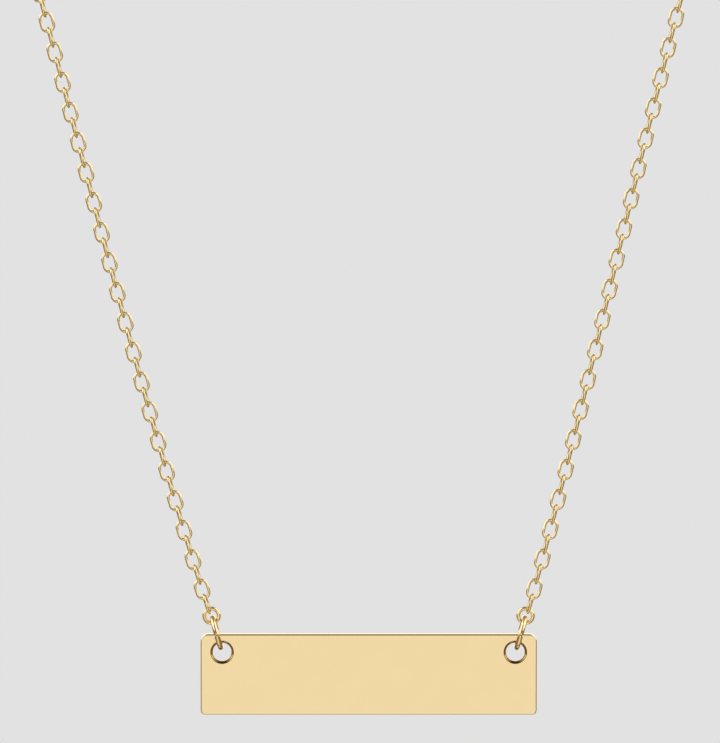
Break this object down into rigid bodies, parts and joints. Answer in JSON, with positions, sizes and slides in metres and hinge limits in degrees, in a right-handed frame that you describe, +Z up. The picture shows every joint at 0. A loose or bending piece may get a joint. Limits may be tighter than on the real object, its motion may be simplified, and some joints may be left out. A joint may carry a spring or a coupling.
{
  "type": "bar pendant necklace",
  "caption": "Polished rectangular bar pendant that hangs by two jump rings from a closed fine oval-link cable chain, worn round the neck.",
  "frame": {"origin": "the nape, at the inner side of the clasp, where the closed loop rests on the neck", "axes": "+Z up, -Y to the front where the bar faces, +X to the right as seen from the front"},
  "size_m": [0.096, 0.0849, 0.0995],
  "materials": {
    "polished_plate": "mirror-polished gold plating on brass",
    "polished_wire": "polished gold-plated wire",
    "chain_wire": "bright gold-plated chain wire"
  },
  "bodies": {
    "necklace": {"chain_left": "chain_wire", "chain_right": "chain_wire", "clasp": "polished_wire", "end_ring_left": "chain_wire", "end_ring_right": "chain_wire", "jump_ring_left": "polished_wire", "jump_ring_right": "polished_wire"},
    "pendant": {"bar": "polished_plate"}
  },
  "joints": [
    {"name": "bar_swing", "type": "hinge", "parent": "necklace", "child": "pendant", "pos_m": [0, -0.082, -0.08879], "axis": [1, 0, 0], "range_deg": [-60, 60]}
  ]
}
